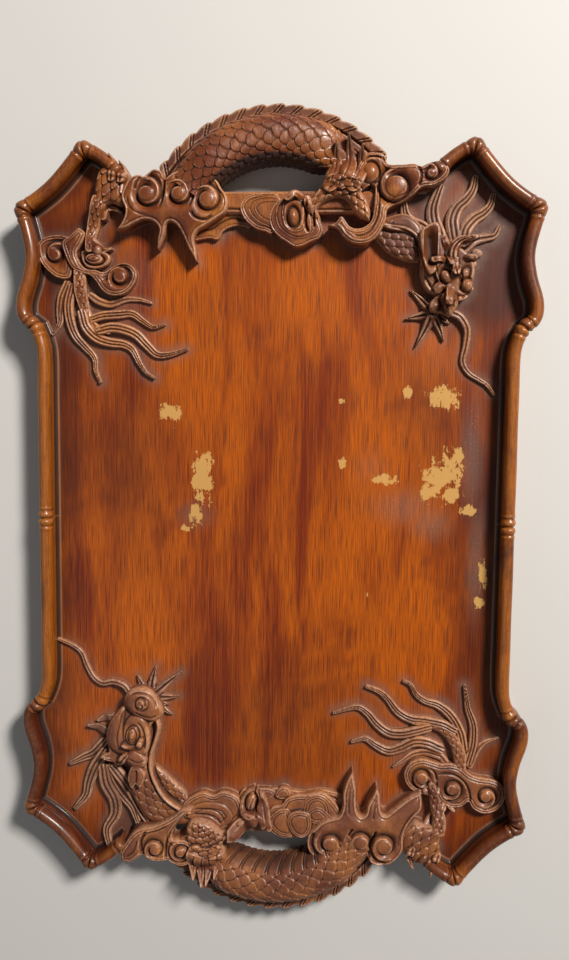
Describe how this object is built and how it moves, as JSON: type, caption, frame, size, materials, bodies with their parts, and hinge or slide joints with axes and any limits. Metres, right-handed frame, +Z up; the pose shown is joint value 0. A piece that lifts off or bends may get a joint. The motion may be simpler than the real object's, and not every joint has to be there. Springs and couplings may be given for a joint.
{
  "type": "carved serving tray",
  "caption": "Carved hardwood serving tray with a bamboo-form rim, dragon and cloud carvings in the corners, and a pierced dragon-bow handle at each end.",
  "frame": {"origin": "centre of the tray's outline, on the plane that it stands on", "axes": "+Z up out of the recess, Y along the tray's length from handle to handle, X across it"},
  "size_m": [0.401, 0.628, 0.037],
  "materials": {
    "board_wood": "worn satin varnish over red-brown hardwood, pale worn patches",
    "rim_wood": "waxed satin, rubbed to orange-brown along the top",
    "carved_wood": "satin, dark in the recesses and pale on rubbed edges",
    "dowel_wood": "plain, hidden"
  },
  "bodies": {
    "root": {"front_back_fin": "carved_wood", "front_beard_flame": "carved_wood", "front_dragon_body": "carved_wood", "front_end_rail": "carved_wood", "front_foreleg": "carved_wood", "front_haunch": "carved_wood", "front_head": "carved_wood", "front_mane": "carved_wood", "front_neck": "carved_wood", "front_paw": "carved_wood", "front_ruyi_cloud": "carved_wood", "front_shell_cloud": "carved_wood", "front_side_cloud": "carved_wood", "front_tail_cloud": "carved_wood", "front_tail_leg": "carved_wood", "front_tail_tip": "carved_wood", "front_tail_tuft": "carved_wood", "front_wave_band": "carved_wood", "front_whisker": "carved_wood", "left_front_ear_rail": "rim_wood", "left_front_side_rail": "rim_wood", "left_front_throat_rail": "rim_wood", "left_front_waist_rail": "rim_wood", "left_rear_ear_rail": "rim_wood", "left_rear_side_rail": "rim_wood", "left_rear_throat_rail": "rim_wood", "left_rear_waist_rail": "rim_wood", "rear_back_fin": "carved_wood", "rear_beard_flame": "carved_wood", "rear_dragon_body": "carved_wood", "rear_end_rail": "carved_wood", "rear_foreleg": "carved_wood", "rear_haunch": "carved_wood", "rear_head": "carved_wood", "rear_mane": "carved_wood", "rear_neck": "carved_wood", "rear_paw": "carved_wood", "rear_ruyi_cloud": "carved_wood", "rear_shell_cloud": "carved_wood", "rear_side_cloud": "carved_wood", "rear_tail_cloud": "carved_wood", "rear_tail_leg": "carved_wood", "rear_tail_tip": "carved_wood", "rear_tail_tuft": "carved_wood", "rear_wave_band": "carved_wood", "rear_whisker": "carved_wood", "right_front_ear_rail": "rim_wood", "right_front_side_rail": "rim_wood", "right_front_throat_rail": "rim_wood", "right_front_waist_rail": "rim_wood", "right_rear_ear_rail": "rim_wood", "right_rear_side_rail": "rim_wood", "right_rear_throat_rail": "rim_wood", "right_rear_waist_rail": "rim_wood", "rim_dowels": "dowel_wood", "tray_board": "board_wood"}
  },
  "joints": []
}
